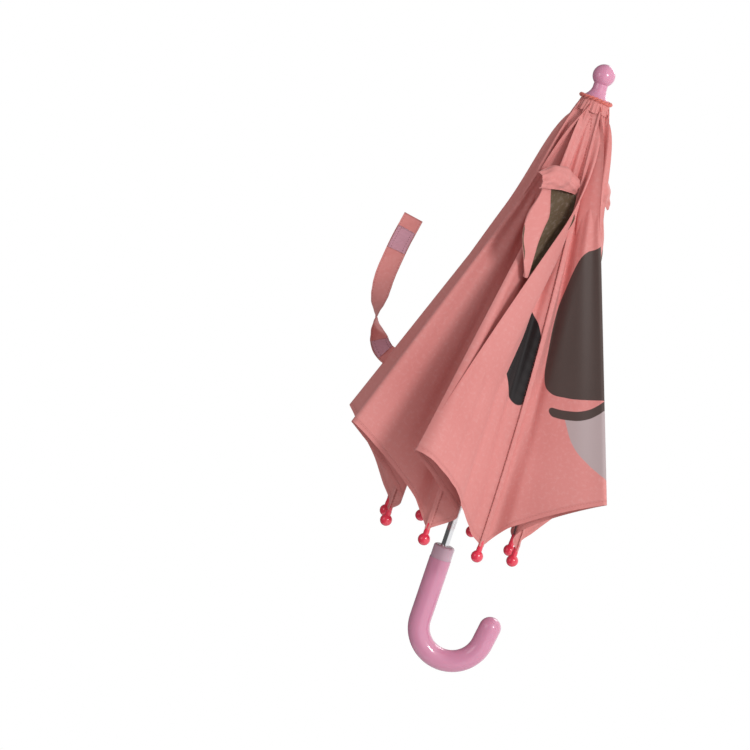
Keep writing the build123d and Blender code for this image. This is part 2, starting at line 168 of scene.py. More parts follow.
# ---------------------------------------------------------------- materials
class Nodes:
    def __init__(self, name):
        self.m = bpy.data.materials.new(name)
        self.m.use_nodes = True
        self.t = self.m.node_tree
        self.shader = self.t.nodes["Principled BSDF"]

    def add(self, kind, **props):
        n = self.t.nodes.new(kind)
        for k, v in props.items():
            setattr(n, k, v)
        return n

    def link(self, a, b):
        self.t.links.new(a, b)

    def math(self, op, a, b=None, c=None, clamp=False):
        n = self.add("ShaderNodeMath", operation=op, use_clamp=clamp)
        for i, v in enumerate((a, b, c)):
            if v is None:
                continue
            if isinstance(v, (int, float)):
                n.inputs[i].default_value = v
            else:
                self.link(v, n.inputs[i])
        return n.outputs[0]

    def ramp(self, value, low, high, to_low=0.0, to_high=1.0):
        n = self.add("ShaderNodeMapRange", interpolation_type="SMOOTHSTEP")
        n.inputs["From Min"].default_value = low
        n.inputs["From Max"].default_value = high
        n.inputs["To Min"].default_value = to_low
        n.inputs["To Max"].default_value = to_high
        self.link(value, n.inputs["Value"])
        return n.outputs["Result"]

    def mix(self, factor, a, b, blend="MIX"):
        n = self.add("ShaderNodeMix", data_type="RGBA", blend_type=blend)
        sockets = [n.inputs[0], n.inputs[6], n.inputs[7]]
        for socket, v in zip(sockets, (factor, a, b)):
            if isinstance(v, (int, float)):
                socket.default_value = v
            elif isinstance(v, tuple):
                socket.default_value = (*v, 1.0)
            else:
                self.link(v, socket)
        return n.outputs[2]

    def noise(self, coords, scale, detail=2.0, rough=0.5):
        n = self.add("ShaderNodeTexNoise")
        n.inputs["Scale"].default_value = scale
        n.inputs["Detail"].default_value = detail
        n.inputs["Roughness"].default_value = rough
        if coords is not None:
            self.link(coords, n.inputs["Vector"])
        return n.outputs["Fac"]

    def object_coords(self):
        return self.add("ShaderNodeTexCoord").outputs["Object"]

    def uv(self, layer):
        n = self.add("ShaderNodeUVMap", uv_map=layer)
        s = self.add("ShaderNodeSeparateXYZ")
        self.link(n.outputs[0], s.inputs[0])
        return n.outputs[0], s.outputs[0], s.outputs[1]

    def curve(self, value, low, high, points, top):
        """A smooth function of value given as (value, result) points; result is 0 to top."""
        n = self.add("ShaderNodeFloatCurve")
        m = self.ramp_linear(value, low, high)
        c = n.mapping.curves[0]
        pts = [((x - low) / (high - low), y / top) for x, y in points]
        while len(c.points) < len(pts):
            c.points.new(0.5, 0.5)
        for p, (x, y) in zip(c.points, pts):
            p.location = (x, y)
            p.handle_type = "AUTO"
        n.mapping.use_clip = True
        n.mapping.update()
        self.link(m, n.inputs["Value"])
        return self.math("MULTIPLY", n.outputs[0], top)

    def ramp_linear(self, value, low, high):
        n = self.add("ShaderNodeMapRange", interpolation_type="LINEAR")
        n.inputs["From Min"].default_value = low
        n.inputs["From Max"].default_value = high
        self.link(value, n.inputs["Value"])
        return n.outputs["Result"]

    def bump(self, height, strength, distance=0.0003, normal=None):
        n = self.add("ShaderNodeBump")
        n.inputs["Strength"].default_value = strength
        n.inputs["Distance"].default_value = distance
        self.link(height, n.inputs["Height"])
        if normal is not None:
            self.link(normal, n.inputs["Normal"])
        return n.outputs[0]

    def put(self, **values):
        for k, v in values.items():
            socket = self.shader.inputs[k.replace("_", " ")]
            if isinstance(v, tuple) and socket.type == "RGBA":
                v = (*v, 1.0)
            socket.default_value = v


def srgb(r, g, b):
    """A colour given as 0 to 255, as the linear values that shaders take."""
    f = lambda c: c / 12.92 if c <= 0.04045 else ((c + 0.055) / 1.055) ** 2.4
    return tuple(f(x / 255) for x in (r, g, b))


PINK = srgb(224, 143, 139)
PINK_DEEP = srgb(217, 134, 130)
COCOA = srgb(80, 65, 61)
BLACK = srgb(24, 17, 19)
LILAC = srgb(184, 166, 167)
OLIVE = srgb(102, 84, 62)


STITCH_LENGTH = 0.0030


def stitch_line(n, distance, place, run):
    """A dashed line of stitches at one distance from an edge."""
    dash = n.ramp(n.math("SINE", n.math("MULTIPLY", run, 2 * math.pi / STITCH_LENGTH)), -0.5, -0.1)
    off = n.math("ABSOLUTE", n.math("SUBTRACT", distance, place))
    return n.math("MULTIPLY", n.ramp(off, 0.0002, 0.0005, 1.0, 0.0), dash)


def cloth(name, base=PINK, deep=PINK_DEEP, prints=None, layer="flat", sheen=0.25, stitched=True):
    """Fine plain-weave polyester. prints(n, u, v, colour) paints on it and returns the colour."""
    n = Nodes(name)
    vec, u, v = n.uv(layer)
    # weave: two sets of fine threads
    warp = n.math("SINE", n.math("MULTIPLY", u, 2 * math.pi / 0.00055))
    weft = n.math("SINE", n.math("MULTIPLY", v, 2 * math.pi / 0.00055))
    weave = n.math("MULTIPLY", warp, weft)
    soft = n.noise(n.object_coords(), 9.0, 2.0, 0.5)
    slub = n.noise(vec, 260.0, 2.0, 0.6)
    colour = n.mix(n.ramp(soft, 0.35, 0.7), base, deep)
    colour = n.mix(n.math("MULTIPLY", n.ramp(slub, 0.45, 0.8), 0.10), colour, (1.0, 0.78, 0.74))
    height = n.math("ADD", n.math("MULTIPLY", weave, 0.35), n.math("MULTIPLY", slub, 0.8))
    if prints is not None:
        colour = prints(n, u, v, colour)
    normal = n.bump(height, 0.25, 0.00012)
    if stitched:
        _, hem, side = n.uv("edge")
        # the turned hem, its stitch line, and the stitch line beside the rib
        band = n.ramp(hem, 0.0050, 0.0056, 1.0, 0.0)
        line = stitch_line(n, hem, 0.0040, u)
        line_v = stitch_line(n, side, 0.0035, v)
        stitches = n.math("MAXIMUM", n.math("MULTIPLY", line, 0.45), line_v)
        colour = n.mix(n.math("MULTIPLY", band, 0.35), colour, deep)
        colour = n.mix(n.math("MULTIPLY", stitches, 0.5), colour, (0.50, 0.10, 0.09))
        # puckers beside the rib's seam, fading into the cloth
        pucker = n.math("SINE", n.math("ADD", n.math("MULTIPLY", v, 2 * math.pi / 0.011),
                                       n.math("MULTIPLY", n.noise(vec, 40.0), 7.0)))
        near = n.math("ADD", n.ramp(side, 0.0, 0.022, 1.0, 0.0), n.math("MULTIPLY", band, 0.6))
        edges = n.math("SUBTRACT", n.math("MULTIPLY", band, 1.2), n.math("MULTIPLY", stitches, 1.5))
        raised = n.math("ADD", n.math("MULTIPLY", n.math("MULTIPLY", pucker, near), 0.5), edges)
        normal = n.bump(raised, 0.55, 0.0006, normal)
    n.link(colour, n.shader.inputs["Base Color"])
    n.link(normal, n.shader.inputs["Normal"])
    n.put(Roughness=0.62, Sheen_Weight=sheen, Sheen_Roughness=0.45, Sheen_Tint=(1.0, 0.86, 0.84),
          Specular_IOR_Level=0.32)
    n.m.use_backface_culling = False
    return n.m


def face_print(n, u, v, colour):
    """Snout patch, smile and chin patch, the same on both sides of the fold."""
    side = n.math("ABSOLUTE", u)
    half = n.curve(v, 0.130, 0.295, [(0.130, 0), (0.1365, 0), (0.142, 0.012), (0.155, 0.025), (0.182, 0.040),
                                     (0.203, 0.049), (0.237, 0.0565), (0.268, 0.0595), (0.279, 0.0540),
                                     (0.2855, 0.038), (0.2885, 0.016), (0.2895, 0), (0.295, 0)], 0.07)
    snout = n.ramp(n.math("SUBTRACT", half, side), -0.0002, 0.0005)
    smile_line = n.curve(side, 0.0, 0.060, [(0, 0.0945), (0.006, 0.0985), (0.020, 0.1035), (0.036, 0.1030),
                                            (0.050, 0.0995), (0.060, 0.095)], 0.2)
    smile_line = n.math("ADD", smile_line, 0.200)
    off = n.math("ABSOLUTE", n.math("SUBTRACT", v, smile_line))
    past = n.math("MAXIMUM", n.math("SUBTRACT", side, 0.0500), 0.0)
    reach = n.math("SQRT", n.math("ADD", n.math("MULTIPLY", off, off), n.math("MULTIPLY", past, past)))
    smile = n.ramp(reach, 0.0042, 0.0049, 1.0, 0.0)
    chin_half = n.curve(v, 0.290, 0.380, [(0.290, 0.042), (0.309, 0.0385), (0.333, 0.0315), (0.352, 0.0168),
                                          (0.362, 0.006), (0.368, 0), (0.380, 0)], 0.07)
    chin = n.ramp(n.math("SUBTRACT", chin_half, side), -0.0002, 0.0005)
    chin = n.math("MULTIPLY", chin, n.ramp(n.math("SUBTRACT", v, smile_line), 0.0, 0.0008))
    mottled = n.noise(n.object_coords(), 45.0, 3.0)
    cocoa = n.mix(mottled, COCOA, tuple(c * 0.86 for c in COCOA))
    colour = n.mix(chin, colour, LILAC)
    return n.mix(n.math("MAXIMUM", snout, smile), colour, cocoa)


def eye_print(n, u, v, colour):
    """A plain oval close to the rib, leaning with it."""
    side = n.math("SUBTRACT", n.math("ABSOLUTE", u), 0.0670)
    down = n.math("SUBTRACT", v, 0.2479)
    lean = math.radians(29.8)
    cos_lean, sin_lean = math.cos(lean), math.sin(lean)
    across = n.math("SUBTRACT", n.math("MULTIPLY", side, cos_lean), n.math("MULTIPLY", down, sin_lean))
    along = n.math("ADD", n.math("MULTIPLY", side, sin_lean), n.math("MULTIPLY", down, cos_lean))
    a, b = n.math("DIVIDE", across, 0.0210), n.math("DIVIDE", along, 0.0481)
    radius = n.math("SQRT", n.math("ADD", n.math("MULTIPLY", a, a), n.math("MULTIPLY", b, b)))
    return n.mix(n.ramp(radius, 0.985, 1.010, 1.0, 0.0), colour, BLACK)


def plastic(name, colour, rough=0.22, spread=0.05, coat=0.4, grain=900.0, **extra):
    n = Nodes(name)
    co = n.object_coords()
    cloud = n.noise(co, 30.0, 3.0)
    speck = n.noise(co, grain, 2.0)
    tone = n.mix(cloud, colour, tuple(min(1.0, c * (1 - spread)) for c in colour))
    n.link(tone, n.shader.inputs["Base Color"])
    n.link(n.ramp(cloud, 0.3, 0.8, rough * 0.85, rough * 1.25), n.shader.inputs["Roughness"])
    n.link(n.bump(speck, 0.05, 0.0001), n.shader.inputs["Normal"])
    n.put(Coat_Weight=coat, Coat_Roughness=0.08, **extra)
    return n.m


def metal(name, colour, rough, streak=0.1):
    n = Nodes(name)
    co = n.object_coords()
    stretch = n.add("ShaderNodeMapping")
    stretch.inputs["Scale"].default_value = (1.0, 1.0, 0.02)
    n.link(co, stretch.inputs["Vector"])
    lines = n.noise(stretch.outputs[0], 1500.0, 3.0)
    marks = n.noise(co, 120.0, 4.0)
    worn = n.math("ADD", n.math("MULTIPLY", lines, streak), marks)
    n.link(n.ramp(worn, 0.3, 0.9, rough * 0.7, rough * 1.5),
           n.shader.inputs["Roughness"])
    n.link(n.mix(marks, colour, tuple(c * 0.92 for c in colour)), n.shader.inputs["Base Color"])
    n.link(n.bump(lines, 0.04, 0.0001), n.shader.inputs["Normal"])
    n.put(Metallic=1.0)
    return n.m


M_CLOTH = cloth("canopy_plain")
M_FACE = cloth("canopy_face", prints=face_print)
M_EYE = cloth("canopy_eye", prints=eye_print)
M_TRIM = cloth("canopy_trim", stitched=False)
M_LINING = cloth("ear_lining", base=OLIVE, deep=srgb(88, 72, 52), stitched=False, sheen=0.15)
M_HANDLE = plastic("handle_pink", srgb(226, 152, 182), rough=0.20, Subsurface_Weight=0.15,
                   Subsurface_Radius=(0.004, 0.002, 0.002), Subsurface_Scale=1.0)
M_COLLAR = plastic("collar_milky", srgb(212, 176, 192), rough=0.25, Subsurface_Weight=0.4,
                   Subsurface_Radius=(0.006, 0.004, 0.004), Subsurface_Scale=1.0)
M_TIP = plastic("tip_coral", srgb(246, 62, 88), rough=0.16, coat=0.7)
M_NYLON = plastic("nylon_white", srgb(222, 216, 214), rough=0.42, coat=0.05)
M_CHROME = metal("shaft_chrome", (0.80, 0.80, 0.82), 0.09)
M_STEEL = metal("frame_steel", (0.60, 0.60, 0.62), 0.28, 0.5)

# ---------------------------------------------------------------- canopy
ROWS, COLS = 72, 46


def gore_lines(g):
    """The fold's start, its end, and its direction, in millimetres at rest."""
    a = heading(FIRST + (g + 0.5) * PITCH) * FOLD_START[0] + UP * FOLD_START[1]
    k = np.array([0, 0, HINGE_Z]) + downward(*FOLDS[g]) * HEM
    c = (k - a) / np.linalg.norm(k - a)
    return a, k, c


def half_frame(g, side):
    a, k, c = gore_lines(g)
    phi = FIRST + (g + (side > 0)) * PITCH
    x, z = rib_point(1.0)
    tip = heading(phi) * x + UP * z - a
    e = tip - c * (c @ tip)
    e /= np.linalg.norm(e)
    return a, c, e, np.cross(e, c) * side, phi


def relief(g, side, s, x, width):
    """Soft folds of the loose cloth, as height out of the half, in millimetres."""
    t = x / np.maximum(width, 1e-6)
    window = smooth(t / 0.25) * smooth((1 - t) / 0.25)
    seed = 13 * g + (5 if side > 0 else 0)
    wide = np.sin(2 * math.pi * (1.6 * t + 0.13 * seed) + 1.1 * np.sin(3 * s + seed))
    fine = np.sin(2 * math.pi * (3.3 * t + 0.31 * seed) + 1.7 * np.sin(2.1 * s + seed))
    h = 2.6 * wide * smooth(s / 0.2) * (1 - 0.45 * s) + 1.2 * fine * smooth(s / 0.15) * (1 - 0.8 * s)
    h += 1.0 * np.sin(2 * math.pi * (0.9 * s + 0.4 * t) + seed)
    for start, end, depth, half, low, high in PLEATS.get((g, side), PLEATS_USUAL):
        line = start + (end - start) * s
        here = smooth((s - low) / 0.12) * smooth((high - s) / 0.2)
        h -= depth * here * np.exp(-(((t - line) * width) / half) ** 2)
    return h * window


# long pleats that run down from the crown: (place across at the top, at the hem, depth, half
# width, first and last share of the length that they reach)
PLEATS_USUAL = [(0.50, 0.42, 1.8, 5.0, 0.05, 0.75), (0.72, 0.66, 1.6, 4.0, 0.02, 0.60)]
PLEATS = {
    (1, -1): [(0.30, 0.34, 3.0, 6.0, 0.10, 1.10), (0.55, 0.60, 3.2, 5.5, 0.05, 1.10),
              (0.78, 0.80, 2.4, 4.5, 0.05, 0.90)],
    (1, 1): [(0.35, 0.45, 2.0, 7.0, 0.10, 0.95), (0.66, 0.60, 2.2, 6.0, 0.05, 0.80)],
    (2, 1): [(0.55, 0.45, 2.2, 6.0, 0.05, 0.80)],
    (2, -1): [(0.45, 0.52, 3.0, 7.0, 0.05, 1.00), (0.75, 0.72, 2.4, 5.0, 0.05, 0.80)],
    (0, -1): [(0.50, 0.45, 1.6, 5.0, 0.05, 0.50)],
    (0, 1): [(0.60, 0.70, 2.0, 5.0, 0.02, 0.90)],
}
# the fold's radius at the crown and at the hem
FOLD_ROUND = [(3.0, 3.5), (3.5, 20.0), (3.0, 5.0), (3.0, 5.0),
              (3.0, 6.0), (3.0, 6.0), (3.0, 5.0), (2.5, 4.0)]
FOLD_TRIM = 8.0
CROWN_FULL, FULL_FROM, FULL_OVER = 11.0, 22.0, 108.0
# which half gores carry the print; all others are plain
PRINTED = {(0, -1): M_FACE, (0, 1): M_FACE, (1, -1): M_EYE, (7, 1): M_EYE}


def half_gore(g, side):
    a, c, e, out, phi = half_frame(g, side)
    other = half_frame(g, -side)
    x, z = rib_point(1.0)
    name = f"gore_{g + 1}_{'first' if side < 0 else 'second'}"
    joint = JOINTS[f"{name}_fold"]
    axis, pivot = np.array(joint["axis"], float), np.array(joint["pos_m"], float) * 1000
    angle = math.radians(joint["range_deg"][1]) / 1.0005
    # half the angle between the two halves at the fold
    half_angle = math.acos(max(-1.0, min(1.0, float(e @ other[2])))) / 2

    s = np.linspace(0, 1, ROWS)[:, None]
    u = np.linspace(0, 1, COLS)[None, :]
    t = 0.5 * (1 - np.cos(math.pi * u)) * np.ones_like(s)
    # the seam on the rib, carried back to where it would be if it moved with the half
    share = 0.012 + (0.977 - 0.012) * s[:, 0]
    sx, sz = seam(share)
    on_rib = heading(phi)[None, :] * sx[:, None] + UP[None, :] * sz[:, None]
    edge = spin(on_rib, axis, pivot, -angle)
    length = np.linalg.norm(gore_lines(g)[1] - a)
    fold = a[None, :] + c[None, :] * (0.5 + (length - FOLD_TRIM - 0.5) * s)
    ec, ee, en = (edge - a) @ c, (edge - a) @ e, (edge - a) @ out
    fc = (fold - a) @ c
    C = fc[:, None] * (1 - t) + ec[:, None] * t
    C = C - 20.0 * (t - t * t) * s ** 4
    E = ee[:, None] * t
    N = en[:, None] * t * t
    width = np.maximum(ee[:, None], 1.0) * np.ones_like(t)
    # the rounded fold
    r0, r1 = FOLD_ROUND[g]
    R = (r0 + (r1 - r0) * s ** 3) * np.ones_like(t)
    R = np.minimum(R, width * 0.35)
    sin_h, cos_h = math.sin(half_angle), math.cos(half_angle)
    raised = R * (1 - sin_h)
    xt = R * cos_h
    arc = -R * sin_h + np.sqrt(np.maximum(R * R - (np.minimum(E, xt) - xt) ** 2, 0))
    N = N + np.where(E < xt, arc, raised * smooth((1 - E / width) / 0.7))
    N = N + relief(g, side, s * np.ones_like(t), E, width)
    flat = a + C[..., None] * c + E[..., None] * e + N[..., None] * out
    # gathered full just below the crown
    away = -(e + other[2]) / np.linalg.norm(e + other[2])
    full = CROWN_FULL * (1 - smooth((C - FULL_FROM) / FULL_OVER)) * (1 - t) ** 2
    flat = flat + full[..., None] * away

    # where the cloth turns from the rib's body to the half's: along the bisector of its two directions
    chord_top, chord_end = heading(phi) * HINGE_R + UP * HINGE_Z, heading(phi) * x + UP * z
    chord = (chord_end - chord_top) / np.linalg.norm(chord_end - chord_top)
    toward = -e
    turned_dir = spin((toward + pivot)[None, :], axis, pivot, angle)[0] - pivot
    d = toward + turned_dir
    d -= chord * (d @ chord)
    d /= np.linalg.norm(d)
    lift = (on_rib - chord_top) @ d
    offset = max(0.0, 0.7 * float(lift.max())) + 1.5
    band = BANDS.get((g, side), 18.0)
    p0 = chord_top + d * offset

    points = flat.reshape(-1, 3)
    low, high = np.zeros(len(points)), np.ones(len(points))
    for _ in range(40):
        mid = (low + high) / 2
        v = spin(points, axis, pivot, (1 - mid) * angle)
        w = smooth(((v - p0) @ d) / band)
        up = w > mid
        low, high = np.where(up, mid, low), np.where(up, high, mid)
    w = (low + high) / 2
    rest = spin(points, axis, pivot, (1 - w) * angle)

    sign = side
    uv_flat = np.stack([(E * sign).ravel() * MM, C.ravel() * MM], 1)
    hem_c = C[-1][None, :] * np.ones_like(C)
    uv_edge = np.stack([(hem_c - C).ravel() * MM, (width - E).ravel() * MM], 1)
    ob = mesh_object(f"{name}_cloth", rest, grid_faces(ROWS, COLS, flip=side > 0),
                     {"flat": uv_flat, "edge": uv_edge})
    ob.data.materials.append(PRINTED.get((g, side), M_CLOTH))
    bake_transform(ob)
    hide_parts(f"{name}_half")
    return rest.reshape(ROWS, COLS, 3)


BANDS = {(1, 1): 50.0, (1, -1): 26.0}
REST = {}
for g in range(8):
    for side in (-1, 1):
        REST[g, side] = half_gore(g, side)

# seam ridge along each rib
for k in range(8):
    phi = FIRST + k * PITCH
    rad, tan = heading(phi), np.array([-math.sin(math.radians(phi)), -math.cos(math.radians(phi)), 0])
    n = 240
    share = np.linspace(0.03, 0.977, n)
    x, z = seam(share)
    pts, uv = [], []
    profile = [(-2.6, 0.05), (-2.0, 0.45), (-0.9, 0.75), (0.0, 0.35), (0.9, 0.75), (2.0, 0.45), (2.6, 0.05)]
    for i in range(n):
        pucker = 0.18 * math.sin(i * 1.9 + k) + 0.12 * math.sin(i * 0.83 + 2 * k)
        taper = min(1.0, 0.35 + share[i] * 3)
        for a, h in profile:
            pts.append(rad * (x[i] + h + pucker * (abs(a) > 0.5)) + UP * z[i] + tan * a * taper)
            uv.append((a * MM, share[i] * REACH * MM))
    ob = mesh_object(f"seam_{k + 1}", pts, grid_faces(n, len(profile)), {"flat": uv})
    ob.data.materials.append(M_TRIM)
    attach(ob, f"rib_{k + 1}")

# ---------------------------------------------------------------- carried-over parts
for node, material in {
    "handle": M_HANDLE, "finial": M_HANDLE, "handle_collar": M_COLLAR, "shaft_tube": M_CHROME,
    "top_notch": M_NYLON, "runner": M_NYLON, "top_notch_wire": M_STEEL, "runner_wire": M_STEEL,
    "runner_stop_pin": M_STEEL, "bottom_catch": M_STEEL, "top_catch": M_STEEL,
    **{f"rib_{k}": M_STEEL for k in range(1, 9)}, **{f"stretcher_{k}": M_STEEL for k in range(1, 9)},
    **{f"rib_tip_{k}": M_TIP for k in range(1, 9)},
}.items():
    ob = frame["nodes"][node]
    ob.data.materials.clear()
    ob.data.materials.append(material)

# ---------------------------------------------------------------- crown
def tube_along(points, radius, sides=8, closed=False):
    """Vertices and faces of a tube along points, with steady frames."""
    p = np.asarray(points, float)
    n = len(p)
    tan = np.roll(p, -1, 0) - np.roll(p, 1, 0) if closed else np.gradient(p, axis=0)
    tan /= np.linalg.norm(tan, axis=1)[:, None]
    ref = np.cross(tan[0], [0.3, 0.2, 0.93])
    ref /= np.linalg.norm(ref)
    verts = []
    for i in range(n):
        ref = ref - tan[i] * (ref @ tan[i])
        ref /= np.linalg.norm(ref)
        side = np.cross(tan[i], ref)
        r = radius[i] if np.ndim(radius) else radius
        for a in np.linspace(0, 2 * math.pi, sides + 1)[:-1]:
            verts.append(p[i] + (ref * math.cos(a) + side * math.sin(a)) * r)
    faces = grid_faces(n, sides, close=True)
    if closed:
        last = (n - 1) * sides
        faces += [(last + j, last + (j + 1) % sides, (j + 1) % sides, j) for j in range(sides)]
    return verts, faces


def rope_ring(name, radius, z, ply, turns):
    """Twisted cord of two plies laid round the crown."""
    verts, faces = [], []
    n = turns * 24
    for strand in range(2):
        pts = []
        for i in range(n):
            a = 2 * math.pi * i / n
            w = a * turns + math.pi * strand
            r = radius + ply * 0.62 * math.cos(w)
            tilted = z + ply * 0.62 * math.sin(w) - 0.045 * r * math.cos(a)
            pts.append((r * math.cos(a), r * math.sin(a), tilted + 0.25 * math.sin(3 * a)))
        v, f = tube_along(pts, ply * 0.60, 8, True)
        base = len(verts)
        verts += list(v)
        faces += [tuple(base + x for x in q) for q in f]
    return mesh_object(name, verts, faces)


ring = rope_ring("crown_rope", 15.4, 518.4, 1.8, 11)
rope = Nodes("twisted_cord")
fibre = rope.noise(rope.object_coords(), 2600.0, 3.0, 0.7)
tone = rope.noise(rope.object_coords(), 300.0, 2.0)
rope.link(rope.mix(tone, srgb(232, 122, 108), srgb(214, 98, 88)), rope.shader.inputs["Base Color"])
rope.link(rope.bump(fibre, 0.6, 0.0002), rope.shader.inputs["Normal"])
rope.put(Roughness=0.55, Sheen_Weight=0.5)
ring.data.materials.append(rope.m)
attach(ring, "shaft")
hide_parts("crown_cord")

# short gathered skirt under the cord, over the tops of the gores
n_a = 384
levels = [(8.0, 520.4), (11.5, 519.8), (13.5, 518.6), (14.4, 516.8), (15.0, 514.5),
          (15.7, 511.5), (16.4, 509.0), (16.9, 506.8), (17.2, 505.4)]
pts, uv = [], []
for j, (r, z) in enumerate(levels):
    depth = 0.15 + 0.95 * smooth((j - 2) / 5)
    for i in range(n_a):
        a = 2 * math.pi * i / n_a
        phase = (math.degrees(-a) - FIRST) / PITCH
        f = phase - math.floor(phase)
        pleat = 0.5 - abs(f - 0.5) * 1.4 + 0.28 * math.sin(6 * math.pi * f + 2.4 * math.floor(phase))
        rr = r + depth * 1.7 * (pleat - 0.2) + (0.12 * math.sin(61 * a) if j > 1 else 0)
        drop = 0.5 * math.sin(8 * a + 1) if j == len(levels) - 1 else 0
        pts.append((rr * math.cos(a), rr * math.sin(a), z - drop))
        uv.append((a * 15 * MM, j * 3.5 * MM))
skirt = mesh_object("crown_skirt", pts, grid_faces(len(levels), n_a, close=True, flip=True), {"flat": uv})
skirt.data.materials.append(M_TRIM)
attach(skirt, "shaft")
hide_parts("crown_cap")

# ---------------------------------------------------------------- ears
# down the ear: height at its left, rise to its right, left edge, right edge, how far the left turns over
LEAF_ROWS = [(430, 4, -57, -17, 7), (414, 11, -62, -14, 13), (393, 15, -74, -13, 27),
             (376, 22, -78, -14, 25), (361, 14, -75, -28, 17), (349, 5, -70, -46, 11),
             (334, 0, -64, -61, 2)]
EAR_ACROSS, EAR_OUT = heading(-45), heading(45)


def ear_point(across, out, height):
    return EAR_ACROSS * across + EAR_OUT * out + UP * height


def leaf_net():
    """The hollow of the ear, with its left side turned over to the front and a rim on its right."""
    net = []
    for height, rise, left, right, over in LEAF_ROWS:
        wide = right - left
        deep = 23 + (414 - height) * 0.225
        row = [(left + over, 6), (left, 4), (left + 0.42 * wide, 0), (left + 0.68 * wide, 0),
               (left + 0.92 * wide, 0.5), (right, 5)]
        slope = rise / max(wide, 1)
        net.append([ear_point(at, deep + lift, height + slope * (at - left)) for at, lift in row])
    return net


def puff_net():
    """The gathered roll across the top of the ear."""
    net = []
    for turn in (-50, 0, 60, 120):
        row = []
        for at in np.linspace(-1, 1, 9):
            tall, thick = 13 - 5 * at * at, 10 - 3 * at * at
            a = math.radians(turn)
            row.append(ear_point(-42 + 26 * at, 24 + thick * math.cos(a),
                                 428 + 2 * at + 6 * (1 - at * at) + tall * math.sin(a)))
        net.append(row)
    return net


def surface(net, rows, cols, crumple, seed):
    """A smooth crumpled patch through a net of points."""
    net = np.array(net, float)
    along = np.stack([catmull(net[:, j], rows) for j in range(net.shape[1])], 1)
    patch = np.stack([catmull(along[i], cols) for i in range(rows)], 0)
    gu = np.gradient(patch, axis=0)
    gv = np.gradient(patch, axis=1)
    normal = np.cross(gu, gv)
    normal /= np.maximum(np.linalg.norm(normal, axis=2), 1e-9)[..., None]
    i, j = np.meshgrid(np.linspace(0, 1, rows), np.linspace(0, 1, cols), indexing="ij")
    wave = (np.sin(9 * j + 3 * i + seed) * np.sin(5 * i + seed) + 0.5 * np.sin(17 * j - 6 * i + 2 * seed)
            + 0.35 * np.sin(23 * i + 11 * j + seed))
    edge = np.minimum(1, 8 * i * (1 - i) + 0.2)
    return patch + normal * (wave * edge * crumple)[..., None], normal


def ear(name, body, node, mirror, narrow=1.0, back=0.0):
    verts, faces, mats, uv = [], [], [], []
    layers = ((leaf_net(), 46, 44, 0.8, 1.0, True), (puff_net(), 30, 60, 1.5, 2.3, False))
    for net, rows, cols, crumple, seed, lined in layers:
        patch, normal = surface(net, rows, cols, crumple, seed)
        # the net's normal faces out of the hollow, which is lined
        for layer, (offset, slot_index) in enumerate(((0.35, 1 if lined else 0), (-0.35, 0))):
            base = len(verts)
            p = patch + normal * offset
            verts += list(p.reshape(-1, 3))
            g, h = np.meshgrid(np.arange(rows), np.arange(cols), indexing="ij")
            uv += list(np.stack([h.ravel() * 1.4 * MM, g.ravel() * 2.0 * MM], 1))
            q = grid_faces(rows, cols, base, flip=layer == 0)
            faces += q
            mats += [slot_index] * len(q)
            if layer == 1:  # the turned edge all round
                a0 = base - rows * cols
                rim = grid_rim(rows, cols)
                for m_, n_ in zip(rim, rim[1:] + rim[:1]):
                    faces.append((a0 + m_, a0 + n_, base + n_, base + m_))
                    mats.append(0)
    verts = np.array(verts)
    if mirror:
        mid = math.radians(FIRST + 0.5 * PITCH)
        n = np.array([math.sin(mid), math.cos(mid), 0.0])
        verts = verts - 2 * (verts @ n)[:, None] * n
        faces = [tuple(reversed(f)) for f in faces]
        x, z = rib_point(np.array([0.15, 0.50]))
        root, foot = (heading(FIRST) * x[i] + UP * z[i] for i in (0, 1))
        along = (foot - root) / np.linalg.norm(foot - root)
        on_line = root + ((verts - root) @ along)[:, None] * along
        verts = spin(on_line + (verts - on_line) * narrow, along, root, math.radians(back))
    ob = mesh_object(name, verts, faces, {"flat": uv})
    ob.data.materials.append(M_TRIM)
    ob.data.materials.append(M_LINING)
    ob.data.polygons.foreach_set("material_index", mats)
    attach(ob, body)
    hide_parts(node)
    return ob


ear("ear_left_soft", "rib_2", "ear_left", False)
ear("ear_right_soft", "rib_1", "ear_right", True, narrow=0.66, back=-10.0)

# ---------------------------------------------------------------- strap
LINE = [(-109.5, 46.0, 205.0), (-118.5, 47.0, 208.0), (-125.5, 48.0, 213.5), (-131.0, 49.0, 222.0),
        (-139.0, 50.0, 237.0), (-142.8, 49.0, 259.5), (-143.7, 47.5, 283.4), (-142.0, 47.0, 303.0),
        (-139.5, 46.5, 323.0), (-134.8, 46.0, 348.6)]
TURN = [8, 12, 14, 32, 84, 145, 172, 178, 182, 184]
TILT = [0.55, 0.45, 0.12, -0.1, -0.12, -0.08, 0.05, 0.0, -0.03, -0.08]
line = catmull(LINE, 120)
turn = catmull([(t, 0, 0) for t in TURN], 120)[:, 0]
tilt = catmull([(t, 0, 0) for t in TILT], 120)[:, 0]
along = np.gradient(line, axis=0)
along /= np.linalg.norm(along, axis=1)[:, None]
wide = np.stack([np.cos(np.radians(turn)), np.sin(np.radians(turn)), tilt * np.cos(np.radians(turn))], 1)
wide -= along * (wide * along).sum(1)[:, None]
wide /= np.linalg.norm(wide, axis=1)[:, None]
face_n = np.cross(wide, along)
run = np.concatenate([[0], np.cumsum(np.linalg.norm(np.diff(line, axis=0), axis=1))])


